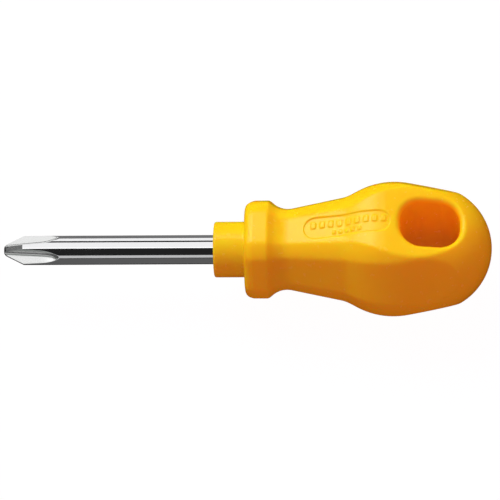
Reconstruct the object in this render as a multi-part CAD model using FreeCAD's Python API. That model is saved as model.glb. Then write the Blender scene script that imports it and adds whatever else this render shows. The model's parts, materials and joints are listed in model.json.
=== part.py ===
"""Stubby Phillips screwdriver: a steel blade moulded into a one-piece plastic handle.

Millimetres. X runs along the tool: the blunt end of the tip is at the origin and the
handle is towards +X. +Z is the normal of the handle face that carries the sunk panel,
and the hanging hole runs along Z.
"""
import FreeCAD, Part
import math
import os

Vec = FreeCAD.Vector
ORIGIN = Vec(0, 0, 0)
AXIS_X = Vec(1, 0, 0)
AXIS_Y = Vec(0, 1, 0)
AXIS_Z = Vec(0, 0, 1)

# Blade, ground to a No. 2 Phillips point
SHANK_R = 3.0               # No. 2 blades are 6 mm round
EXPOSED_LENGTH = 43.4       # tip to the front of the handle's collar
TANG_LENGTH = 31.8          # held inside the handle, ends short of the hanging hole
TANG_R = 2.8                # drawn down, so that a shoulder bears on the collar's front
NOSE = [(0.0, 0.72), (0.10, 0.90), (0.35, 1.14)]    # bullet end of the core
WING_START = (0.90, 1.44)   # where the wings' edges reach their cone
WING_CONE_ANGLE = 26.5      # half angle of that cone
POINT_TURN = 12.5           # turn of the four wings about the axis, from +Z towards -Y

# Flutes: rounded V grooves that a grinding wheel cuts between the wings
FLUTE_HALF_ANGLE = 54.3
FLUTE_ROOT_ROUND = 0.8
FLUTE_ROOT_START = 0.93     # distance of the groove's root from the axis at the nose
FLUTE_SLOPE = 5.75
FLUTE_STRAIGHT = 7.7        # where the groove starts to curve out of the shank
FLUTE_LEAD = 3.0            # how far the groove's run is cut clear of the nose
WHEEL_R = 8.8
WHEEL_SWEEP = 60.0

# Wings pressed out of the tang, so that it can't turn in the handle
EAR_START = 55.2
EAR_LENGTH = 13.0
EAR_SPAN = 9.0
EAR_THICKNESS = 2.2
EAR_TAPER = 2.0
TANG_CHAMFER = 0.6

# Handle
COLLAR_R = 5.72
COLLAR_EDGE = 0.45
FLANGE_FRONT = 49.87
CORNER_RATIO = 0.94         # distance to a flat, over the radius of the rounded corners
BULB_PEAK_X = 80.26
BULB_PEAK_R = 14.5
END_BALL_R = 13.0
END_BALL_X = 87.34

# Half section over a pair of flats: station along X, distance from the axis, blend radius
GRIP_OUTLINE = [
    (FLANGE_FRONT, 0.0, 0.0),
    (FLANGE_FRONT, 9.4, 1.6),
    (51.6, 9.93, 2.0),
    (54.7, 9.95, 1.0),
    (57.25, 7.87, 4.6),
    (70.5, 10.6, 7.5),
]
SIDE_BULB = [(77.8, 14.39, 16.0), (101.7, 9.83, 0.0)]
PANEL_BULB = [(75.43, 13.16, 13.0), (101.7, 9.3, 0.0)]

# Hanging hole, through both panel faces
HOLE_X = 87.9
HOLE_LENGTH = 12.1
HOLE_WIDTH = 10.1
HOLE_CORNER = 4.4
HOLE_RIM = 1.2

# Sunk panel on the +Z face with plain raised pips in two rows
PANEL_START = 62.15
PANEL_END = 79.95
PANEL_WIDTH = 4.7
PANEL_DEPTH = 0.25
PIP_ROWS = [
    # centre x, offset in Y, number, pitch, length in X, width in Y
    (71.3, 0.6, 9, 1.8, 1.0, 1.4),
    (71.0, -1.35, 5, 1.3, 0.7, 0.8),
]
PIP_HEIGHT = 0.2


def direction(start, end):
    step = end.sub(start)
    return step.multiply(1.0 / step.Length)


def rounded_path(outline):
    """Edges through (x, z, radius) corners, each blended with an arc of its radius."""
    corners = [Vec(x, 0, z) for x, z, _ in outline]
    edges = []
    here = corners[0]
    for index in range(1, len(corners) - 1):
        corner = corners[index]
        radius = outline[index][2]
        back = direction(corner, corners[index - 1])
        ahead = direction(corner, corners[index + 1])
        if radius == 0:
            edges.append(Part.LineSegment(here, corner).toShape())
            here = corner
            continue
        half_angle = back.getAngle(ahead) / 2
        reach = radius / math.tan(half_angle)
        arc_start = corner + back * reach
        arc_end = corner + ahead * reach
        bisector = direction(ORIGIN, back + ahead)
        arc_middle = corner + bisector * (radius / math.sin(half_angle) - radius)
        edges.append(Part.LineSegment(here, arc_start).toShape())
        edges.append(Part.Arc(arc_start, arc_middle, arc_end).toShape())
        here = arc_end
    edges.append(Part.LineSegment(here, corners[-1]).toShape())
    return edges


def face_from(edges):
    return Part.Face(Part.Wire(Part.__sortEdges__(edges)))


def line(start, end):
    return Part.LineSegment(start, end).toShape()


def slab_under(outline, half_width):
    """A slab centred on the axis whose top and bottom follow the outline."""
    edges = rounded_path(outline)
    first = Vec(outline[0][0], 0, 0)
    last = Vec(outline[-1][0], 0, 0)
    edges.append(line(Vec(outline[-1][0], 0, outline[-1][1]), last))
    edges.append(line(last, first))
    upper = face_from(edges)
    upper.translate(Vec(0, -half_width, 0))
    top = upper.extrude(Vec(0, 2 * half_width, 0))
    bottom = top.mirror(ORIGIN, AXIS_Z)
    return top.fuse(bottom).removeSplitter()


def turned(shape, degrees):
    copy = shape.copy()
    copy.rotate(ORIGIN, AXIS_X, degrees)
    return copy


def flute_section():
    """Rounded V in the YZ plane: its root touches the origin and it opens towards +Z."""
    half = math.radians(FLUTE_HALF_ANGLE)
    centre = Vec(0, 0, FLUTE_ROOT_ROUND)
    depth = SHANK_R * 1.6
    lean = math.cos(half) * FLUTE_ROOT_ROUND
    low = FLUTE_ROOT_ROUND - math.sin(half) * FLUTE_ROOT_ROUND
    left = Vec(0, -lean, low)
    right = Vec(0, lean, low)
    spread = lean + (depth - low) * math.tan(half)
    edges = [
        Part.Arc(left, centre - Vec(0, 0, FLUTE_ROOT_ROUND), right).toShape(),
        line(right, Vec(0, spread, depth)),
        line(Vec(0, spread, depth), Vec(0, -spread, depth)),
        line(Vec(0, -spread, depth), left),
    ]
    return face_from(edges)


def flute_cutter():
    """What the grinding wheel removes for one flute along +Z: a sloping run, then its rim."""
    slope = math.radians(FLUTE_SLOPE)
    along = Vec(math.cos(slope), 0, math.sin(slope))
    touch = Vec(FLUTE_STRAIGHT, 0, FLUTE_ROOT_START + FLUTE_STRAIGHT * math.tan(slope))
    groove = flute_section()
    groove.rotate(ORIGIN, AXIS_Y, -FLUTE_SLOPE)
    groove.translate(touch)
    run = groove.extrude(along * -(FLUTE_STRAIGHT + FLUTE_LEAD))
    wheel_centre = touch + Vec(-along.z, 0, along.x) * WHEEL_R
    rim = groove.revolve(wheel_centre, AXIS_Y, -WHEEL_SWEEP)
    return run.fuse(rim).removeSplitter()


def make_blade():
    cone_length = (SHANK_R - WING_START[1]) / math.tan(math.radians(WING_CONE_ANGLE))
    blade_end = EXPOSED_LENGTH + TANG_LENGTH
    outline = [(0, 0)] + NOSE + [
        WING_START,
        (WING_START[0] + cone_length, SHANK_R),
        (EXPOSED_LENGTH, SHANK_R),
        (EXPOSED_LENGTH, TANG_R),
        (blade_end - TANG_CHAMFER, TANG_R),
        (blade_end, TANG_R - TANG_CHAMFER),
        (blade_end, 0),
        (0, 0),
    ]
    section = Part.Face(Part.makePolygon([Vec(x, 0, r) for x, r in outline]))
    bar = section.revolve(ORIGIN, AXIS_X, 360)
    ear = Part.Face(Part.makePolygon([
        Vec(EAR_START, 0, 0),
        Vec(EAR_START + EAR_TAPER, EAR_SPAN / 2, 0),
        Vec(EAR_START + EAR_LENGTH - EAR_TAPER, EAR_SPAN / 2, 0),
        Vec(EAR_START + EAR_LENGTH, 0, 0),
        Vec(EAR_START + EAR_LENGTH - EAR_TAPER, -EAR_SPAN / 2, 0),
        Vec(EAR_START + EAR_TAPER, -EAR_SPAN / 2, 0),
        Vec(EAR_START, 0, 0),
    ]))
    ear.translate(Vec(0, 0, -EAR_THICKNESS / 2))
    blade = bar.fuse(ear.extrude(Vec(0, 0, EAR_THICKNESS))).removeSplitter()
    flute = flute_cutter()
    for number in range(4):
        blade = blade.cut(turned(flute, POINT_TURN + 45 + 90 * number))
    return blade


def turned_grip():
    """The round body that the flats are cut from: its radius is that of the rounded corners.

    Past its widest point it is one large arc that runs tangent into the end ball.
    """
    outline = [(x, r / CORNER_RATIO, blend) for x, r, blend in GRIP_OUTLINE + SIDE_BULB]
    last_x, last_r, _ = outline[-1]
    edges = rounded_path(outline)
    edges.append(line(Vec(last_x, 0, last_r), Vec(last_x, 0, 0)))
    edges.append(line(Vec(last_x, 0, 0), Vec(outline[0][0], 0, 0)))
    front = face_from(edges).revolve(ORIGIN, AXIS_X, 360)
    front = front.common(Part.makeBox(BULB_PEAK_X - FLANGE_FRONT, 60, 60, Vec(FLANGE_FRONT, -30, -30)))

    run = END_BALL_X - BULB_PEAK_X
    back_r = (run ** 2 + BULB_PEAK_R ** 2 - END_BALL_R ** 2) / (2 * (BULB_PEAK_R - END_BALL_R))
    back_centre = Vec(BULB_PEAK_X, 0, BULB_PEAK_R - back_r)
    ball_centre = Vec(END_BALL_X, 0, 0)
    joint = ball_centre + direction(back_centre, ball_centre) * END_BALL_R
    peak = Vec(BULB_PEAK_X, 0, BULB_PEAK_R)
    on_back = back_centre + direction(back_centre, (peak + joint) * 0.5) * back_r
    pole = Vec(END_BALL_X + END_BALL_R, 0, 0)
    on_ball = ball_centre + direction(ball_centre, (joint + pole) * 0.5) * END_BALL_R
    rear = face_from([
        Part.Arc(peak, on_back, joint).toShape(),
        Part.Arc(joint, on_ball, pole).toShape(),
        line(pole, Vec(BULB_PEAK_X, 0, 0)),
        line(Vec(BULB_PEAK_X, 0, 0), peak),
    ]).revolve(ORIGIN, AXIS_X, 360)
    return front.fuse(rear).removeSplitter()


def hole_cutter():
    half_x = HOLE_LENGTH / 2
    half_y = HOLE_WIDTH / 2
    block = Part.makeBox(HOLE_LENGTH, HOLE_WIDTH, 40, Vec(HOLE_X - half_x, -half_y, -20))
    upright = [edge for edge in block.Edges if abs(edge.tangentAt(edge.FirstParameter).z) > 0.9]
    return block.makeFillet(HOLE_CORNER, upright)


def with_rounded_rims(grip):
    """Round both ends of the hanging hole, where it comes out through the panel faces."""
    reach_x = HOLE_LENGTH / 2 + 0.1
    reach_y = HOLE_WIDTH / 2 + 0.1
    rims = []
    for edge in grip.Edges:
        box = edge.BoundBox
        in_hole = (box.XMin > HOLE_X - reach_x and box.XMax < HOLE_X + reach_x
                   and box.YMin > -reach_y and box.YMax < reach_y)
        if in_hole and box.ZLength < END_BALL_R:
            rims.append(edge)
    return grip.makeFillet(HOLE_RIM, rims)


def panel_cutter(grip_flats):
    """The sunk panel: a stadium that follows the face at an even depth, less the pips."""
    radius = PANEL_WIDTH / 2
    straight = PANEL_END - PANEL_START - PANEL_WIDTH
    stadium = Part.makeBox(straight, PANEL_WIDTH, 20, Vec(PANEL_START + radius, -radius, 0))
    for end_x in (PANEL_START + radius, PANEL_END - radius):
        stadium = stadium.fuse(Part.makeCylinder(radius, 20, Vec(end_x, 0, 0), AXIS_Z))
    floor = grip_flats.copy()
    floor.translate(Vec(0, 0, -PANEL_DEPTH))
    pip_top = grip_flats.copy()
    pip_top.translate(Vec(0, 0, PIP_HEIGHT - PANEL_DEPTH))
    cutter = stadium.removeSplitter().cut(floor)
    for centre_x, offset_y, count, pitch, length, width in PIP_ROWS:
        for number in range(count):
            x = centre_x + (number - (count - 1) / 2) * pitch
            pip = Part.makeBox(length, width, 20, Vec(x - length / 2, offset_y - width / 2, 0))
            cutter = cutter.cut(pip.common(pip_top))
    return cutter


def make_handle(blade):
    half_width = 2 * END_BALL_R
    side_flats = slab_under(GRIP_OUTLINE + SIDE_BULB, half_width)
    panel_flats = slab_under(GRIP_OUTLINE + PANEL_BULB, half_width)
    grip = turned_grip()
    for flats in (panel_flats, turned(side_flats, 60), turned(side_flats, -60)):
        grip = grip.common(flats)
    grip = with_rounded_rims(grip.cut(hole_cutter()))
    grip = grip.cut(panel_cutter(panel_flats))
    collar_length = FLANGE_FRONT - EXPOSED_LENGTH + 1
    collar = Part.makeCylinder(COLLAR_R, collar_length, Vec(EXPOSED_LENGTH, 0, 0), AXIS_X)
    front_edge = [edge for edge in collar.Edges if abs(edge.BoundBox.XMax - EXPOSED_LENGTH) < 0.01]
    collar = collar.makeFillet(COLLAR_EDGE, front_edge)
    return grip.fuse(collar).removeSplitter().cut(blade)


def save(shape, name):
    solid = shape.Solids[0] if len(shape.Solids) == 1 else shape
    box = solid.BoundBox
    print(f"{name}: {len(shape.Solids)} solid, valid {solid.isValid()}, {solid.Volume:.1f} mm3,",
          f"X {box.XMin:.2f} {box.XMax:.2f} Y {box.YMin:.2f} {box.YMax:.2f} Z {box.ZMin:.2f} {box.ZMax:.2f}")
    solid.exportStep(f"parts/{name}.step")


os.makedirs("parts", exist_ok=True)
blade = make_blade()
save(blade, "blade")
save(make_handle(blade), "handle")
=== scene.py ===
"""Looks of a stubby Phillips screwdriver: chromed blade and moulded yellow grip.

The meshes are worked out in millimetres in the part's own frame and stored in metres.
X runs from the tip to the end of the grip, and +Z is the normal of the grip face with the
sunk panel. Angles round the X axis start at +Z and turn towards +Y.
"""

import json
import math

import bmesh
import bpy
import numpy as np
from mathutils import Matrix, Vector


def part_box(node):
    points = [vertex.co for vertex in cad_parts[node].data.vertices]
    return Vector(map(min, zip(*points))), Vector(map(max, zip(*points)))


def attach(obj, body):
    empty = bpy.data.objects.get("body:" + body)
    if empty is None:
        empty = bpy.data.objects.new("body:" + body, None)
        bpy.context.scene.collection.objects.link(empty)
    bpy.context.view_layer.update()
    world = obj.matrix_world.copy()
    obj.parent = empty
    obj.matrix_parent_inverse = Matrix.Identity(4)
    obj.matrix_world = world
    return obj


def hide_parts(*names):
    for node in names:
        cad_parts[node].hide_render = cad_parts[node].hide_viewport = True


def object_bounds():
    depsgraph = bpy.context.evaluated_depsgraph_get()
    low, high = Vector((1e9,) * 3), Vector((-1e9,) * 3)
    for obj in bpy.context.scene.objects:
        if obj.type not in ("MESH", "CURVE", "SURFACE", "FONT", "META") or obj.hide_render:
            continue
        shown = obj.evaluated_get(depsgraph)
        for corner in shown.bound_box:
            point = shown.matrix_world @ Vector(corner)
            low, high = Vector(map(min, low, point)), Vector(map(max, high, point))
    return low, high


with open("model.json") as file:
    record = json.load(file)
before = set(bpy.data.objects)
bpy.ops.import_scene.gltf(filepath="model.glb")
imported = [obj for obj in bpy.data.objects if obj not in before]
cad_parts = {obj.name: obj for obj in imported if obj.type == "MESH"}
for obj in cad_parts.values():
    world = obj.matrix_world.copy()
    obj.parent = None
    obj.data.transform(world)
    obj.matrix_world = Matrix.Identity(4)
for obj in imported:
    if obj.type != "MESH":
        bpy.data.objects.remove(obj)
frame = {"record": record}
cad_low, cad_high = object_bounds()

MM = 0.001
mounts = {mount["name"]: mount for mount in frame["record"]["mounts"]}
_, blade_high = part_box("blade")
handle_low, handle_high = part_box("handle")

# Blade, in millimetres and degrees
SHANK_R = mounts["shank"]["dims"]["r_mm"]
TANG_R = 2.8
TANG_CHAMFER = 0.6
COLLAR_FRONT = handle_low.x / MM
BLADE_END = blade_high.x / MM
NOSE = [(0.0, 0.72), (0.10, 0.90), (0.35, 1.14)]
WING_START = (0.90, 1.44)
WING_CONE_ANGLE = 26.5
CONE_END = WING_START[0] + (SHANK_R - WING_START[1]) / math.tan(math.radians(WING_CONE_ANGLE))
WING_EDGE_BLEND = 0.03      # how far the wings' ground edges are softened
POINT_TURN = 12.5
FLUTE_HALF_ANGLE = 54.3
FLUTE_ROOT_ROUND = 0.8
FLUTE_ROOT_START = 0.93
FLUTE_SLOPE = 5.75
FLUTE_STRAIGHT = 7.7
FLUTE_END = 12.1
WHEEL_R = 8.8
EAR_START = 55.2
EAR_LENGTH = 13.0
EAR_TAPER = 2.0
EAR_HALF_SPAN = blade_high.y / MM
EAR_HALF_THICKNESS = 1.1

# Grip, in millimetres. Outlines are corners: distance along X, from the axis, and blend radius
COLLAR_R = mounts["collar"]["dims"]["r_mm"]
COLLAR_EDGE = 0.45
COLLAR_ROOT = 0.3
FLANGE_FRONT = mounts["flange_front"]["pos_m"][0] / MM
CORNER_RATIO = 0.94
GRIP_OUTLINE = [
    (FLANGE_FRONT, 0.0, 0.0),
    (FLANGE_FRONT, 9.4, 1.6),
    (51.6, 9.93, 2.0),
    (54.7, 9.95, 1.0),
    (57.25, 7.87, 4.6),
    (70.5, 10.6, 7.5),
]
SIDE_BULB = [(77.8, 14.39, 16.0), (101.7, 9.83, 0.0)]
PANEL_BULB = [(75.43, 13.16, 13.0), (101.7, 9.3, 0.0)]
BULB_PEAK_X = 80.26
BULB_PEAK_R = 14.5
END_BALL_R = 13.0
END_BALL_X = handle_high.x / MM - END_BALL_R
EDGE_BLEND = 0.22           # how far the creases between flats and corners are softened

HOLE_X = mounts["hang_hole"]["pos_m"][0] / MM
HOLE_HALF_LENGTH = 6.05
HOLE_HALF_WIDTH = 5.05
HOLE_CORNER = 4.4
HOLE_RIM = 1.2

PANEL_START = 62.15
PANEL_END = 79.95
PANEL_WIDTH = 4.7
PANEL_DEPTH = 0.25
PANEL_EDGE = 0.16
PIP_ROWS = [
    # centre x, offset in Y, number, pitch, length in X, width in Y
    (71.3, 0.6, 9, 1.8, 1.0, 1.4),
    (71.0, -1.35, 5, 1.3, 0.7, 0.8),
]
PIP_HEIGHT = 0.2
PIP_CORNER = 0.2


def smooth_min(first, second, width):
    overlap = np.maximum(width - np.abs(first - second), 0.0) / width
    return np.minimum(first, second) - overlap * overlap * width / 4


def smooth_step(low, high, value):
    t = np.clip((value - low) / (high - low), 0.0, 1.0)
    return t * t * (3 - 2 * t)


def solve_rising(function, low, high, rounds=40):
    """Where a rising function crosses zero, for whole arrays at once."""
    low = np.array(low, float)
    high = np.array(high, float)
    for _ in range(rounds):
        middle = (low + high) / 2
        above = function(middle) > 0
        high = np.where(above, middle, high)
        low = np.where(above, low, middle)
    return (low + high) / 2


def unit(vector):
    return vector / np.linalg.norm(vector)


def rounded(outline, steps=40):
    """Points along an outline of (x, r, blend radius) corners."""
    corners = [np.array(corner[:2], float) for corner in outline]
    points = [corners[0]]
    for index in range(1, len(corners) - 1):
        corner = corners[index]
        radius = outline[index][2]
        back = unit(corners[index - 1] - corner)
        ahead = unit(corners[index + 1] - corner)
        half = math.acos(np.dot(back, ahead)) / 2
        centre = corner + unit(back + ahead) * radius / math.sin(half)
        reach = radius / math.tan(half)
        spoke_in = corner + back * reach - centre
        spoke_out = corner + ahead * reach - centre
        start = math.atan2(spoke_in[1], spoke_in[0])
        turn = math.atan2(spoke_out[1], spoke_out[0]) - start
        turn = (turn + math.pi) % (2 * math.pi) - math.pi
        for step in range(steps + 1):
            angle = start + turn * step / steps
            points.append(centre + radius * np.array([math.cos(angle), math.sin(angle)]))
    points.append(corners[-1])
    return np.array(points)


SIDE_POINTS = rounded(GRIP_OUTLINE + SIDE_BULB)
PANEL_POINTS = rounded(GRIP_OUTLINE + PANEL_BULB)


def side_apothem(x):
    return np.interp(x, SIDE_POINTS[:, 0], SIDE_POINTS[:, 1])


def panel_apothem(x):
    return np.interp(x, PANEL_POINTS[:, 0], PANEL_POINTS[:, 1])


def corner_radius(x):
    """Radius of the rounded corners: the grip's outline, one large arc, then the end ball."""
    run = END_BALL_X - BULB_PEAK_X
    arc = (run ** 2 + BULB_PEAK_R ** 2 - END_BALL_R ** 2) / (2 * (BULB_PEAK_R - END_BALL_R))
    lift = BULB_PEAK_R - arc
    joint = END_BALL_X + END_BALL_R * run / math.hypot(run, lift)
    front = np.minimum(side_apothem(x) / CORNER_RATIO, BULB_PEAK_R)
    middle = lift + np.sqrt(np.maximum(arc ** 2 - (x - BULB_PEAK_X) ** 2, 0))
    ball = np.sqrt(np.maximum(END_BALL_R ** 2 - (x - END_BALL_X) ** 2, 0))
    return np.where(x < BULB_PEAK_X, front, np.where(x < joint, middle, ball))


def hexagon_radius(corner, side, panel, theta):
    """Distance from the axis to a rounded hexagon at the angles theta."""
    radius = corner + 0 * theta
    for degrees, apothem in ((0, panel), (60, side), (120, side), (180, panel), (240, side), (300, side)):
        lean = np.cos(theta - math.radians(degrees))
        reach = np.where(lean > 0.2, apothem / np.maximum(lean, 0.2), 99.0)
        radius = smooth_min(radius, reach, EDGE_BLEND)
    return radius


def grip_radius(x, theta):
    return hexagon_radius(corner_radius(x), side_apothem(x), panel_apothem(x), theta)


def grip_height(x, y):
    """Height of the upper surface over the points (x, y)."""
    return solve_rising(lambda z: np.hypot(y, z) - grip_radius(x, np.arctan2(y, z)), 0 * x, 0 * x + 20)


def box_distance(x, y, half_x, half_y, corner=0.0):
    """Signed distance from a rectangle with rounded corners, negative inside."""
    over_x = np.abs(x) - half_x + corner
    over_y = np.abs(y) - half_y + corner
    outside = np.hypot(np.maximum(over_x, 0), np.maximum(over_y, 0))
    return outside + np.minimum(np.maximum(over_x, over_y), 0) - corner


def panel_sink(x, y):
    """How far the upper face is sunk at (x, y): the panel's depth, less its pips."""
    middle = (PANEL_START + PANEL_END) / 2
    half = (PANEL_END - PANEL_START) / 2
    edge = PANEL_EDGE / 2
    inside = box_distance(x - middle, y, half, PANEL_WIDTH / 2, PANEL_WIDTH / 2)
    sink = PANEL_DEPTH * smooth_step(-edge, edge, -inside)
    for centre_x, offset_y, count, pitch, length, width in PIP_ROWS:
        for number in range(count):
            pip_x = centre_x + (number - (count - 1) / 2) * pitch
            beside = box_distance(x - pip_x, y - offset_y, length / 2, width / 2, PIP_CORNER)
            sink = sink - PIP_HEIGHT * smooth_step(-edge, edge, -beside)
    return sink


# Where the rings of the grip's mesh lie along X
BODY_START = 60.0           # up to here the grip is as wide across each pair of flats
FINE_START = PANEL_START - 0.3
FINE_END = PANEL_END + 0.17
WINDOW_END = 97.0           # the last ring that the hole's window cuts
BALL_RINGS_START = END_BALL_X + 5.95

# Columns of the grip's mesh: shares of the half flats and of the rounded bands between them
PANEL_INNER_COLUMNS = 20
PANEL_INNER_HALF = 2.6
LEAST_FLAT = 6.0            # degrees of half flat that the mesh keeps where a flat runs out
PANEL_OUTER = [0.25, 0.5, 0.7, 0.83, 0.92, 0.97, 1.0]
BAND = [0.03, 0.08, 0.17, 0.33, 0.5, 0.67, 0.83, 0.92, 0.97, 1.0]
SIDE = [0.025, 0.06, 0.12, 0.22, 0.4, 0.7, 1.0]
WINDOW_COLUMN = PANEL_INNER_COLUMNS + len(PANEL_OUTER) + len(BAND) + 5


def flat_edge(apothem, corner):
    """Half angle that a flat spans, kept wide enough for the mesh where the flat runs out."""
    ratio = min(apothem / max(corner, 1e-6), 1.0)
    return max(math.degrees(math.acos(ratio)), LEAST_FLAT)


def grip_columns(corner, side, panel):
    """Angles of all columns of one ring, in degrees, from 0 round to 360."""
    panel_edge = flat_edge(panel, corner)
    side_edge = min(flat_edge(side, corner), 59.0 - panel_edge)
    inner = min(math.degrees(math.atan(PANEL_INNER_HALF / panel)), 0.72 * panel_edge)
    quarter = [inner * step / PANEL_INNER_COLUMNS for step in range(PANEL_INNER_COLUMNS + 1)]
    quarter += [inner + (panel_edge - inner) * share for share in PANEL_OUTER]
    band = 60 - side_edge - panel_edge
    quarter += [panel_edge + band * share for share in BAND]
    quarter += [60 - side_edge * (1 - share) for share in SIDE]
    quarter += [60 + side_edge * (1 - share) for share in SIDE[-2::-1]]
    half_band = 30 - side_edge
    quarter += [60 + side_edge + half_band * 2 * share for share in [0.0] + BAND if share < 0.5]
    half = quarter + [90.0] + [180 - angle for angle in reversed(quarter)]
    return np.radians(np.array(half + [360 - angle for angle in half[-2:0:-1]]))


def tang_radius(x, theta):
    """The blade's buried end, with its two pressed ears, as a distance from the axis."""
    past = x - EAR_START
    span = EAR_HALF_SPAN * np.clip(np.minimum(past, EAR_LENGTH - past) / EAR_TAPER, 0, 1)
    sine = np.maximum(np.abs(np.sin(theta)), 1e-6)
    cosine = np.maximum(np.abs(np.cos(theta)), 1e-6)
    ear = np.minimum(span / sine, EAR_HALF_THICKNESS / cosine)
    return np.maximum(TANG_R, ear)


def ear_stations():
    """Where the rings lie along the ears' two tapered ends."""
    taper_in = EAR_START + EAR_TAPER * np.linspace(0, 1, 7)
    return list(taper_in) + list(2 * EAR_START + EAR_LENGTH - taper_in[::-1])


def ring_points(x, theta, radius):
    """A ring of points round the X axis."""
    theta = np.asarray(theta, float)
    x = x + 0 * theta
    return np.stack([x, radius * np.sin(theta), radius * np.cos(theta)], axis=1)


def mesh_object(name, points, faces, sharp_degrees):
    """A smooth-shaded closed mesh, with hard normals only along its sharp edges."""
    mesh = bpy.data.meshes.new(name)
    mesh.from_pydata((np.asarray(points) * MM).tolist(), [], faces)
    mesh.validate()
    shaper = bmesh.new()
    shaper.from_mesh(mesh)
    bmesh.ops.delete(shaper, geom=[v for v in shaper.verts if not v.link_faces], context="VERTS")
    bmesh.ops.recalc_face_normals(shaper, faces=shaper.faces)
    limit = math.radians(sharp_degrees)
    for face in shaper.faces:
        face.smooth = True
    for edge in shaper.edges:
        edge.smooth = len(edge.link_faces) == 2 and edge.calc_face_angle(0.0) < limit
    shaper.to_mesh(mesh)
    shaper.free()
    thing = bpy.data.objects.new(name, mesh)
    bpy.context.scene.collection.objects.link(thing)
    return thing


def skin(ring_count, columns, first=0, skip=None):
    """Quads between neighbouring rings of a closed tube."""
    faces = []
    for ring in range(ring_count - 1):
        for column in range(columns):
            if skip and skip(ring, column):
                continue
            after = (column + 1) % columns
            low = first + ring * columns
            faces.append((low + column, low + after, low + columns + after, low + columns + column))
    return faces


def front_rings():
    """Rings of the bore, the collar and the flange's front face, from the inside out."""
    corner = GRIP_OUTLINE[1][1] / CORNER_RATIO
    theta = grip_columns(corner, GRIP_OUTLINE[1][1], GRIP_OUTLINE[1][1])
    rings = [ring_points(BLADE_END, theta, TANG_R - TANG_CHAMFER)]
    bore = [BLADE_END - TANG_CHAMFER] + ear_stations()[::-1] + [COLLAR_FRONT + 0.05, COLLAR_FRONT]
    rings += [ring_points(x, theta, tang_radius(x, theta)) for x in bore]
    face_r = COLLAR_R - COLLAR_EDGE
    rings += [ring_points(COLLAR_FRONT, theta, r) for r in np.linspace(TANG_R + 0.05, face_r, 7)]
    for step in range(1, 9):
        angle = math.radians(90 * step / 8)
        x = COLLAR_FRONT + COLLAR_EDGE * (1 - math.cos(angle))
        rings.append(ring_points(x, theta, face_r + COLLAR_EDGE * math.sin(angle)))
    straight = np.linspace(COLLAR_FRONT + COLLAR_EDGE, FLANGE_FRONT - COLLAR_ROOT, 9)
    rings += [ring_points(x, theta, COLLAR_R) for x in straight[1:]]
    for step in range(1, 6):
        angle = math.radians(90 * step / 5)
        x = FLANGE_FRONT - COLLAR_ROOT * (1 - math.sin(angle))
        rings.append(ring_points(x, theta, COLLAR_R + COLLAR_ROOT * (1 - math.cos(angle))))
    root = COLLAR_R + COLLAR_ROOT
    arc_start = SIDE_POINTS[1, 1]
    rim = hexagon_radius(arc_start / CORNER_RATIO, arc_start, arc_start, theta)
    for share in np.linspace(0, 1, 9)[1:-1]:
        rings.append(ring_points(FLANGE_FRONT, theta, root + (rim - root) * share))
    return rings


def flange_rings(last_x):
    """Rings that follow the flats' outline round the flange, up to last_x."""
    rings = []
    travelled = np.concatenate([[0], np.cumsum(np.hypot(*np.diff(SIDE_POINTS[1:], axis=0).T))])
    end = np.interp(last_x, SIDE_POINTS[1:, 0], travelled)
    for place in np.linspace(0, end, round(end / 0.18) + 1)[:-1]:
        x = float(np.interp(place, travelled, SIDE_POINTS[1:, 0]))
        apothem = float(np.interp(place, travelled, SIDE_POINTS[1:, 1]))
        corner = apothem / CORNER_RATIO
        theta = grip_columns(corner, apothem, apothem)
        rings.append(ring_points(x, theta, hexagon_radius(corner, apothem, apothem, theta)))
    return rings


def grip_stations():
    """Where the rings lie from BODY_START on: close over the panel, and evenly turned on the end ball."""
    stations = list(np.arange(BODY_START, FINE_START, 0.3))
    stations += list(np.arange(FINE_START, FINE_END, 0.13))
    stations += list(np.linspace(FINE_END, BALL_RINGS_START, 42))
    last = math.degrees(math.acos((BALL_RINGS_START - END_BALL_X) / END_BALL_R))
    turns = np.linspace(last, 0, 40)[1:-1]
    return stations + list(END_BALL_X + END_BALL_R * np.cos(np.radians(turns)))


def body_ring(x):
    """One ring of the grip, with the panel and its pips pressed into its upper side."""
    corner = float(corner_radius(x))
    side = float(side_apothem(x))
    panel = float(panel_apothem(x))
    theta = grip_columns(corner, side, panel)
    points = ring_points(x, theta, hexagon_radius(corner, side, panel, theta))
    upper = points[:, 2] > 0
    points[upper, 2] -= panel_sink(points[upper, 0], points[upper, 1])
    return points


def hole_spoke_target(points, offset):
    """Where lines from the hole's centre to these points cross the hole's outline, offset outwards."""
    dx = points[:, 0] - HOLE_X
    dy = points[:, 1]

    def beyond(share):
        return box_distance(dx * share, dy * share, HOLE_HALF_LENGTH, HOLE_HALF_WIDTH, HOLE_CORNER) - offset

    share = solve_rising(beyond, np.zeros(len(dx)), np.full(len(dx), 1.6))
    return HOLE_X + dx * share, dy * share


def hole_rows(rim_points):
    """Rows of points from a loop on the upper surface, over the rim and down to mid height."""
    rows = []
    outer_x, outer_y = hole_spoke_target(rim_points, HOLE_RIM)
    for share in 1 - (1 - np.linspace(0, 1, 15)[1:]) ** 1.3:
        x = rim_points[:, 0] + (outer_x - rim_points[:, 0]) * share
        y = rim_points[:, 1] + (outer_y - rim_points[:, 1]) * share
        rows.append(np.stack([x, y, grip_height(x, y)], axis=1))
    for degrees in np.linspace(0, 90, 13)[1:]:
        angle = math.radians(degrees)
        x, y = hole_spoke_target(rim_points, HOLE_RIM * (1 - math.sin(angle)))
        z = grip_height(x, y) - HOLE_RIM * (1 - math.cos(angle))
        rows.append(np.stack([x, y, z], axis=1))
    rim = rows[-1]
    for share in (0.8, 0.6, 0.4, 0.2, 0.0):
        rows.append(rim * [1, 1, share])
    return rows


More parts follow.
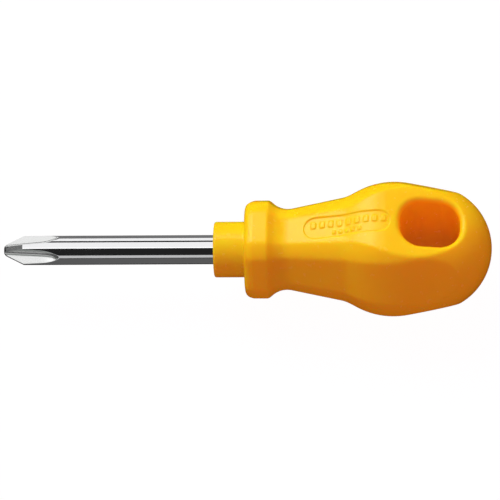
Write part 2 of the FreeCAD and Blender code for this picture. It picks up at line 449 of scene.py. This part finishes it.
def make_handle():
    """The grip as one closed skin: bore, collar, flange and body, with the hole through a window."""
    rings = front_rings() + flange_rings(BODY_START)
    body_start = len(rings)
    stations = grip_stations()
    rings += [body_ring(x) for x in stations]
    columns = len(rings[0])
    first = body_start + next(i for i, x in enumerate(stations) if x > PANEL_END + 0.1)
    last = body_start + max(i for i, x in enumerate(stations) if x < WINDOW_END)
    half = columns // 2
    reach = WINDOW_COLUMN

    def in_window(ring, column):
        """True for the faces that the hole's own patch takes the place of."""
        if not first <= ring < last:
            return False
        from_top = min(column, columns - 1 - column)
        from_bottom = min(abs(column - half), abs(half - 1 - column))
        return from_top < reach or from_bottom < reach

    points = np.concatenate(rings)
    faces = skin(len(rings), columns, skip=in_window)

    def loop(column_of):
        """The window's edge, as point numbers in order."""
        front = [(first, c) for c in range(-reach, reach + 1)]
        side = [(r, reach) for r in range(first + 1, last + 1)]
        back = [(last, c) for c in range(reach - 1, -reach - 1, -1)]
        other = [(r, -reach) for r in range(last - 1, first, -1)]
        return [r * columns + column_of(c) % columns for r, c in front + side + back + other]

    upper = loop(lambda column: column)
    lower = loop(lambda column: half - column)
    rows = hole_rows(points[upper])
    mirrored = [row * [1, 1, -1] for row in rows[-2::-1]]
    inner = rows + mirrored
    base = len(points)
    points = np.concatenate([points] + inner)
    count = len(upper)
    chain = [upper]
    chain += [[base + row * count + k for k in range(count)] for row in range(len(inner))]
    chain += [lower]
    for near, far in zip(chain, chain[1:]):
        for k in range(count):
            after = (k + 1) % count
            faces.append((near[k], near[after], far[after], far[k]))

    bore_centre = len(points)
    pole = bore_centre + 1
    points = np.concatenate([points, [[BLADE_END, 0, 0], [END_BALL_X + END_BALL_R, 0, 0]]])
    end = (len(rings) - 1) * columns
    for column in range(columns):
        after = (column + 1) % columns
        faces.append((bore_centre, after, column))
        faces.append((pole, end + column, end + after))
    return mesh_object("moulded_handle", points, faces, 60)


def groove_floor(x, across):
    """Height of a flute's surface over the axis, this far across from its middle."""
    half = math.radians(FLUTE_HALF_ANGLE)
    lean = FLUTE_ROOT_ROUND * math.cos(half)
    across = np.abs(across)
    round_part = FLUTE_ROOT_ROUND - np.sqrt(np.maximum(FLUTE_ROOT_ROUND ** 2 - across ** 2, 0))
    low = FLUTE_ROOT_ROUND * (1 - math.sin(half))
    lift = np.where(across < lean, round_part, low + (across - lean) / math.tan(half))
    slope = math.radians(FLUTE_SLOPE)
    straight = FLUTE_ROOT_START + x * math.tan(slope) + lift / math.cos(slope)
    wheel_x = FLUTE_STRAIGHT - WHEEL_R * math.sin(slope)
    wheel_up = FLUTE_ROOT_START + FLUTE_STRAIGHT * math.tan(slope) + WHEEL_R * math.cos(slope)
    reach = np.maximum((WHEEL_R - lift) ** 2 - (x - wheel_x) ** 2, 0)
    past = wheel_x + (WHEEL_R - lift) * math.sin(slope)
    return np.where(x < past, straight, wheel_up - np.sqrt(reach))


def groove_radius(x, alpha):
    """Distance from the axis to a flute's surface, at the angle alpha from its middle."""
    def over(r):
        return r * np.cos(alpha) - groove_floor(x, r * np.sin(alpha))
    return solve_rising(over, 0 * alpha, 0 * alpha + 9.0)


def point_radius(x):
    """The point before its flutes are ground: nose, wing cone, then shank."""
    cone = WING_START[1] + (x - WING_START[0]) * math.tan(math.radians(WING_CONE_ANGLE))
    nose = np.interp(x, [p[0] for p in NOSE + [WING_START]], [p[1] for p in NOSE + [WING_START]])
    return np.where(x < WING_START[0], nose, np.minimum(cone, SHANK_R))


# Columns of the blade's mesh: shares of the half flute and of the half wing beside it
FLUTE_SHARES = [0.1, 0.22, 0.34, 0.46, 0.58, 0.7, 0.8, 0.88, 0.94, 0.975, 1.0]
WING_SHARES = [0.025, 0.07, 0.15, 0.27, 0.42, 0.6, 0.8, 1.0]
NARROWEST_FLUTE = 14.0      # degrees, from its middle to its edge
WIDEST_FLUTE = 42.0
SHANK_SHARE = 24.0          # what the flutes' columns take on the shank, in degrees
COLUMN_EASE = 8.0           # millimetres over which the columns spread out behind the flutes


def blade_columns(x):
    """Angles from a flute's middle to the next wing's middle, clustered at the wing's edge."""
    edge = SHANK_SHARE
    if x < FLUTE_END:
        def gap(alpha):
            return groove_radius(x + 0 * alpha, alpha) - point_radius(x)
        edge = math.degrees(float(solve_rising(gap, np.zeros(1), np.full(1, math.radians(45)))[0]))
        edge = min(max(edge, NARROWEST_FLUTE), WIDEST_FLUTE)
    elif x < FLUTE_END + COLUMN_EASE:
        edge = NARROWEST_FLUTE + (SHANK_SHARE - NARROWEST_FLUTE) * (x - FLUTE_END) / COLUMN_EASE
    half = [edge * share for share in FLUTE_SHARES]
    half += [edge + (45 - edge) * share for share in WING_SHARES]
    return half


def blade_ring(x):
    """Angles and radii round the blade at x, one flute after another."""
    half = blade_columns(x)
    sector = [-angle for angle in reversed(half)] + [0.0] + half[:-1]
    alpha = np.radians(np.array(sector * 4))
    flute = np.repeat(np.arange(4), len(sector))
    theta = alpha - np.radians(POINT_TURN + 45 + 90 * flute[::-1])
    radius = point_radius(x) + 0 * alpha
    if x < FLUTE_END:
        radius = smooth_min(groove_radius(x + 0 * alpha, alpha), radius, WING_EDGE_BLEND)
    return theta, radius


def make_blade():
    """Point, shank and tang as one closed skin. The ground faces get their own material."""
    stations = [0.0, 0.03, 0.07, 0.10, 0.14, 0.22, 0.30, 0.35, 0.40, 0.50, 0.65, 0.80, 0.86, 0.90, 0.95]
    stations += list(np.linspace(1.1, CONE_END - 0.03, 26))
    stations += [CONE_END, CONE_END + 0.03]
    stations += list(np.linspace(CONE_END + 0.12, FLUTE_END, 80))
    stations += list(np.linspace(FLUTE_END + 0.3, COLLAR_FRONT, 40))
    rings = []
    start_theta, start_radius = blade_ring(0.0)
    for share in (0.35, 0.7, 0.93):
        rings.append(ring_points(0.0, start_theta, start_radius * share))
    for x in stations:
        theta, radius = blade_ring(x)
        rings.append(ring_points(x, theta, radius))
    theta, _ = blade_ring(COLLAR_FRONT)
    buried = [COLLAR_FRONT, COLLAR_FRONT + 0.1] + ear_stations() + [BLADE_END - TANG_CHAMFER]
    rings += [ring_points(x, theta, tang_radius(x, theta)) for x in buried]
    rings.append(ring_points(BLADE_END, theta, TANG_R - TANG_CHAMFER))
    columns = len(rings[0])
    points = np.concatenate(rings)
    faces = skin(len(rings), columns)
    tip = len(points)
    points = np.concatenate([points, [[0, 0, 0], [BLADE_END, 0, 0]]])
    end = (len(rings) - 1) * columns
    for column in range(columns):
        after = (column + 1) % columns
        faces.append((tip, after, column))
        faces.append((tip + 1, end + column, end + after))
    blade = mesh_object("phillips_blade", points, faces, 30)
    blade.data.materials.append(chromed_steel())
    blade.data.materials.append(ground_steel())
    for face in blade.data.polygons:
        middle = face.center / MM
        outer = float(point_radius(middle.x))
        below = math.hypot(middle.y, middle.z) < outer - WING_EDGE_BLEND
        if middle.x < CONE_END or below and middle.x < FLUTE_END:
            face.material_index = 1
    return blade


def new_material(name):
    """A material with its node tree's nodes and links. It starts as one Principled shader."""
    material = bpy.data.materials.new(name)
    material.use_nodes = True
    return material, material.node_tree.nodes, material.node_tree.links


def noise(nodes, links, scale, detail, stretch=(1, 1, 1)):
    """Solid noise in the part's own frame. Scale is in features per metre."""
    where = nodes.new("ShaderNodeTexCoord")
    mapping = nodes.new("ShaderNodeMapping")
    mapping.inputs["Scale"].default_value = stretch
    texture = nodes.new("ShaderNodeTexNoise")
    texture.inputs["Scale"].default_value = scale
    texture.inputs["Detail"].default_value = detail
    links.new(where.outputs["Object"], mapping.inputs["Vector"])
    links.new(mapping.outputs["Vector"], texture.inputs["Vector"])
    return texture.outputs["Fac"]


def spread(nodes, links, value, low, high):
    """Maps the middle of a noise's range onto low to high."""
    rescale = nodes.new("ShaderNodeMapRange")
    rescale.inputs["From Min"].default_value = 0.3
    rescale.inputs["From Max"].default_value = 0.7
    rescale.inputs["To Min"].default_value = low
    rescale.inputs["To Max"].default_value = high
    links.new(value, rescale.inputs["Value"])
    return rescale.outputs["Result"]


def math_node(nodes, links, operation, first, second):
    """Arithmetic on two inputs, each a socket or a number."""
    node = nodes.new("ShaderNodeMath")
    node.operation = operation
    for slot, value in enumerate((first, second)):
        if isinstance(value, (int, float)):
            node.inputs[slot].default_value = value
        else:
            links.new(value, node.inputs[slot])
    return node.outputs["Value"]


def ramp(nodes, links, value, zero_at, one_at):
    """Eases from 0 to 1 as the value goes from zero_at to one_at."""
    node = nodes.new("ShaderNodeMapRange")
    node.interpolation_type = "SMOOTHSTEP"
    node.inputs["From Min"].default_value = zero_at
    node.inputs["From Max"].default_value = one_at
    links.new(value, node.inputs["Value"])
    return node.outputs["Result"]


def bore_masks(nodes, links):
    """Masks for the painted light: 1 on the walls of the hanging hole and 0 elsewhere; and the same, fading
    out downwards.
    """
    where = nodes.new("ShaderNodeTexCoord")
    split = nodes.new("ShaderNodeSeparateXYZ")
    links.new(where.outputs["Object"], split.inputs["Vector"])
    x, y, z = (split.outputs[axis] for axis in "XYZ")
    squares = []
    for place, centre, half in ((x, HOLE_X, HOLE_HALF_LENGTH), (y, 0.0, HOLE_HALF_WIDTH)):
        over = math_node(nodes, links, "SUBTRACT", place, centre * MM)
        over = math_node(nodes, links, "ABSOLUTE", over, 0.0)
        over = math_node(nodes, links, "SUBTRACT", over, (half - HOLE_CORNER) * MM)
        over = math_node(nodes, links, "MAXIMUM", over, 0.0)
        squares.append(math_node(nodes, links, "POWER", over, 2.0))
    from_corner = math_node(nodes, links, "SQRT", math_node(nodes, links, "ADD", *squares), 0.0)
    inside = ramp(nodes, links, from_corner, (HOLE_CORNER + 0.8) * MM, (HOLE_CORNER + 0.05) * MM)
    height = ramp(nodes, links, z, -6 * MM, 3 * MM)
    return inside, math_node(nodes, links, "MULTIPLY", inside, height)


def bump(nodes, links, height, depth, strength, under=None):
    """Relief this many metres deep, laid over any other relief given."""
    node = nodes.new("ShaderNodeBump")
    node.inputs["Distance"].default_value = depth
    node.inputs["Strength"].default_value = strength
    links.new(height, node.inputs["Height"])
    if under:
        links.new(under, node.inputs["Normal"])
    return node.outputs["Normal"]


def chromed_steel():
    """Bright drawn bar: faint lines along it, and slightly uneven polish."""
    material, nodes, links = new_material("chromed_steel")
    shader = nodes["Principled BSDF"]
    shader.inputs["Metallic"].default_value = 1.0
    shader.inputs["Base Color"].default_value = (0.80, 0.80, 0.81, 1)
    smudges = noise(nodes, links, 180, 3)
    links.new(spread(nodes, links, smudges, 0.035, 0.075), shader.inputs["Roughness"])
    drawn = noise(nodes, links, 4000, 2, (0.02, 1, 1))
    links.new(bump(nodes, links, drawn, 0.004 * MM, 0.12), shader.inputs["Normal"])
    return material


def ground_steel():
    """The flutes and the wings' cone, with the grinding marks along them."""
    material, nodes, links = new_material("ground_steel")
    shader = nodes["Principled BSDF"]
    shader.inputs["Metallic"].default_value = 1.0
    shader.inputs["Base Color"].default_value = (0.74, 0.745, 0.74, 1)
    streaks = noise(nodes, links, 1800, 3, (0.12, 1, 1))
    links.new(spread(nodes, links, streaks, 0.10, 0.20), shader.inputs["Roughness"])
    links.new(bump(nodes, links, streaks, 0.006 * MM, 0.2), shader.inputs["Normal"])
    return material


PLASTIC = (0.95, 0.70, 0.006, 1)
PLASTIC_FLOW = (0.95, 0.74, 0.007, 1)
# The next three colours paint light into the hanging hole: a redder orange base colour and a faint
# orange-red emission on its walls, in place of light coming through the plastic
PAINTED_HOLE_ORANGE = (0.97, 0.62, 0.006, 1)
PAINTED_HOLE_GLOW = (1.0, 0.02, 0.005, 1)
PAINTED_HOLE_GLOW_STRENGTH = 0.062


def yellow_polypropylene():
    """Moulded plastic: faint flow marks, shallow sink, fine peel, light that soaks in, and painted light in
    the hanging hole: a redder orange base colour and a faint orange-red emission.
    """
    material, nodes, links = new_material("yellow_polypropylene")
    shader = nodes["Principled BSDF"]
    flow = noise(nodes, links, 90, 4)
    tint = nodes.new("ShaderNodeMix")
    tint.data_type = "RGBA"
    tint.inputs[6].default_value = PLASTIC
    tint.inputs[7].default_value = PLASTIC_FLOW
    links.new(spread(nodes, links, flow, 0, 1), tint.inputs[0])
    # Painted light: the hanging hole's walls get a redder orange base colour, standing in for light that
    # comes through the walls and bounces inside the hole
    inside, upper = bore_masks(nodes, links)
    painted_hole_tint = nodes.new("ShaderNodeMix")
    painted_hole_tint.data_type = "RGBA"
    painted_hole_tint.inputs[7].default_value = PAINTED_HOLE_ORANGE
    links.new(inside, painted_hole_tint.inputs[0])
    links.new(tint.outputs[2], painted_hole_tint.inputs[6])
    links.new(painted_hole_tint.outputs[2], shader.inputs["Base Color"])
    # Painted light: the hole's walls emit a faint orange-red, fading out downwards, though nothing there is
    # a lamp
    shader.inputs["Emission Color"].default_value = PAINTED_HOLE_GLOW
    painted_glow = math_node(nodes, links, "MULTIPLY", upper, PAINTED_HOLE_GLOW_STRENGTH)
    links.new(painted_glow, shader.inputs["Emission Strength"])
    matt = noise(nodes, links, 700, 3)
    links.new(spread(nodes, links, matt, 0.20, 0.28), shader.inputs["Roughness"])
    shader.inputs["IOR"].default_value = 1.49
    shader.inputs["Subsurface Weight"].default_value = 0.5
    shader.inputs["Subsurface Radius"].default_value = (1.0, 0.14, 0.03)
    shader.inputs["Subsurface Scale"].default_value = 7 * MM
    sink = noise(nodes, links, 120, 2)
    peel = noise(nodes, links, 2600, 2)
    waves = bump(nodes, links, sink, 0.06 * MM, 0.35)
    links.new(bump(nodes, links, peel, 0.012 * MM, 0.35, waves), shader.inputs["Normal"])
    return material


def direction(from_zenith):
    """Unit vector this many degrees from +Z towards +Y."""
    angle = math.radians(from_zenith)
    return Vector((0, math.sin(angle), math.cos(angle)))


def softbox(name, angles, span_x, distance, radiance, colour):
    """A rectangular light that spans these angles round the tool's axis and this stretch of X."""
    start, stop = angles
    towards = direction((start + stop) / 2)
    light = bpy.data.lights.new(name, "AREA")
    light.shape = "RECTANGLE"
    light.size = span_x[1] - span_x[0]
    light.size_y = 2 * distance * math.tan(math.radians(abs(stop - start) / 2))
    light.energy = radiance * math.pi * light.size * light.size_y
    light.color = colour
    thing = bpy.data.objects.new(name, light)
    bpy.context.scene.collection.objects.link(thing)
    across = Vector((1, 0, 0))
    turn = Matrix((across, towards.cross(across), towards)).transposed()
    thing.matrix_world = Matrix.Translation(towards * distance + across * sum(span_x) / 2) @ turn.to_4x4()
    thing.visible_camera = False
    thing.visible_diffuse = False
    return thing


def soft_disk(name, towards, radiance, colour):
    """A soft round light a metre from the grip: it shades the plastic but isn't mirrored."""
    towards = Vector(towards).normalized()
    light = bpy.data.lights.new(name, "AREA")
    light.shape = "DISK"
    light.size = 0.7
    light.energy = radiance * math.pi * math.pi * (light.size / 2) ** 2
    light.color = colour
    thing = bpy.data.objects.new(name, light)
    bpy.context.scene.collection.objects.link(thing)
    place = Vector((0.06, 0, 0)) + towards * 1.0
    thing.matrix_world = Matrix.Translation(place) @ towards.to_track_quat("Z", "Y").to_matrix().to_4x4()
    thing.visible_camera = False
    thing.visible_glossy = False


# Softboxes and cards: angles round the tool's axis, stretch of X, distance, radiance, colour.
# The chrome mirrors two softboxes, a strip, and grey and dark cards beside and beyond them.
WHITE = (1.0, 1.0, 1.0)
MIRRORED = [
    ("overhead_softbox", (-13.5, 36.3), (-0.95, 0.10), 0.8, 1.08, WHITE),
    ("overhead_edge", (-13.5, -7.0), (-0.95, 0.10), 0.8, 0.35, WHITE),
    ("rear_softbox", (50.3, 80.3), (-0.9, 0.6), 0.8, 1.08, WHITE),
    ("front_strip", (-92.5, -70.5), (-0.9, 0.9), 0.8, 0.62, WHITE),
    ("low_grey", (-170.0, -97.0), (-1.2, 1.2), 0.5, 0.12, WHITE),
    ("far_grey", (84.0, 130.0), (-1.2, 1.2), 0.7, 0.20, WHITE),
    ("dark_room", (-70.0, -12.0), (-1.2, 1.2), 0.9, 0.018, WHITE),
    ("tip_white", (-29.0, -13.5), (-0.7, -0.11), 0.7, 1.05, WHITE),
    ("tip_grey", (-70.0, -33.0), (-2.4, -0.11), 0.7, 0.33, (0.94, 1.0, 0.96)),
    ("left_grey", (-25.0, 50.0), (-2.4, -0.97), 0.8, 0.19, WHITE),
    ("right_overhead", (-13.5, 36.3), (0.25, 2.6), 0.8, 0.75, WHITE),
    ("right_rear", (50.3, 95.0), (0.65, 2.6), 0.8, 0.75, WHITE),
    ("right_far", (100.0, 150.0), (0.3, 2.6), 0.8, 0.12, WHITE),
]
# The sheen on the plastic: the softbox's bright middle, its fading end and its dim surround
SHEEN = [
    ("softbox_core", (20.0, 36.0), (-0.95, -0.06), 0.79, 2.5, WHITE),
    ("softbox_fade", (20.0, 36.0), (-0.95, 0.16), 0.79, 0.9, WHITE),
    ("softbox_rim", (-11.5, 60.0), (-0.95, 0.3), 0.85, 0.08, WHITE),
]
ROOM_COLOUR = (1.0, 0.37, 0.7, 1)
ROOM_STRENGTH = 0.56


def make_lights(handle, blade):
    # The main light comes from the upper left, and a weak one from beyond the grip's end
    soft_disk("key_light", (-0.34, 0.50, 0.73), 7.4, (0.92, 1.0, 0.85))
    soft_disk("end_light", (0.66, 0.66, 0.36), 0.6, (1.0, 1.0, 0.9))
    for thing, boxes in ((blade, MIRRORED), (handle, SHEEN)):
        for box in boxes:
            light = softbox(*box)
            only = bpy.data.collections.new(light.name + "_on")
            only.objects.link(thing)
            light.light_linking.receiver_collection = only
    world = bpy.data.worlds.new("studio")
    world.use_nodes = True
    world.node_tree.nodes["Background"].inputs["Color"].default_value = ROOM_COLOUR
    world.node_tree.nodes["Background"].inputs["Strength"].default_value = ROOM_STRENGTH
    world.cycles_visibility.glossy = False
    world.cycles_visibility.camera = False
    bpy.context.scene.world = world


# Backdrop, in metres
FLOOR_HALF = 1.5
WALL_R = 3.0
WALL_LOW = -1.0
WALL_HIGH = 4.0
WALL_SIDES = 48


def pale_paper():
    """Paper that photographs white however little light falls on it."""
    material, nodes, _ = new_material("pale_paper")
    shader = nodes["Principled BSDF"]
    shader.inputs["Base Color"].default_value = (0.03, 0.03, 0.03, 1)
    shader.inputs["Roughness"].default_value = 0.9
    shader.inputs["Emission Color"].default_value = (1, 1, 1, 1)
    shader.inputs["Emission Strength"].default_value = 0.98
    return material


def paper_sheet(name, corners, faces, material):
    """Part of the backdrop: seen by the camera, but it neither lights nor tints the tool."""
    mesh = bpy.data.meshes.new(name)
    mesh.from_pydata(corners, [], faces)
    mesh.materials.append(material)
    sheet = bpy.data.objects.new(name, mesh)
    bpy.context.scene.collection.objects.link(sheet)
    sheet.visible_glossy = False
    sheet.visible_diffuse = False
    return sheet


def make_backdrop():
    """A floor for the tool to lie on, and a round wall that stands beyond it in low views."""
    low = cad_low.z
    half = FLOOR_HALF
    material = pale_paper()
    corners = [(-half, -half, low), (half, -half, low), (half, half, low), (-half, half, low)]
    paper_sheet("floor", corners, [(0, 1, 2, 3)], material)
    turns = [2 * math.pi * k / WALL_SIDES for k in range(WALL_SIDES)]
    ring = [(WALL_R * math.cos(turn), WALL_R * math.sin(turn)) for turn in turns]
    corners = [(x, y, low + up) for up in (WALL_LOW, WALL_HIGH) for x, y in ring]
    faces = []
    for k in range(WALL_SIDES):
        after = (k + 1) % WALL_SIDES
        faces.append((k, after, WALL_SIDES + after, WALL_SIDES + k))
    wall = paper_sheet("backdrop", corners, faces, material)
    wall.visible_shadow = False


CAMERA_ASIDE = 3.5          # degrees towards +X
CAMERA_UP = 62.5            # degrees above the XY plane
CAMERA_DISTANCE = 1.0
FRAME_WIDTH = 102.75        # millimetres across the picture, at the tool
FRAME_CENTRE_X = 50.7
FRAME_DROP = 0.11
CAMERA_ROLL = -0.276


def make_camera():
    """A long lens that looks down on the tool's side."""
    aside = math.radians(CAMERA_ASIDE)
    up = math.radians(CAMERA_UP)
    back = Vector((math.sin(aside), -math.cos(aside) * math.cos(up), math.cos(aside) * math.sin(up)))
    right = (Vector((1, 0, 0)) - back * back.x).normalized()
    above = back.cross(right)
    data = bpy.data.cameras.new("camera")
    camera = bpy.data.objects.new("camera", data)
    bpy.context.scene.collection.objects.link(camera)
    data.lens = data.sensor_width * CAMERA_DISTANCE / (FRAME_WIDTH * MM)
    data.clip_end = 20.0
    roll = Matrix.Rotation(math.radians(CAMERA_ROLL), 3, "Z")
    turn = Matrix((right, above, back)).transposed() @ roll
    target = Vector((FRAME_CENTRE_X * MM, 0, 0)) - above * FRAME_DROP * MM
    camera.matrix_world = Matrix.Translation(target + back * CAMERA_DISTANCE) @ turn.to_4x4()
    bpy.context.scene.camera = camera


def dress():
    """The visual pieces, each in the place of its CAD body."""
    handle = make_handle()
    handle.data.materials.append(yellow_polypropylene())
    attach(handle, "root")
    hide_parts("handle")
    blade = make_blade()
    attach(blade, "root")
    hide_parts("blade")
    return handle, blade


handle, blade = dress()
make_backdrop()
make_lights(handle, blade)
make_camera()
bpy.context.scene.view_settings.view_transform = "Standard"
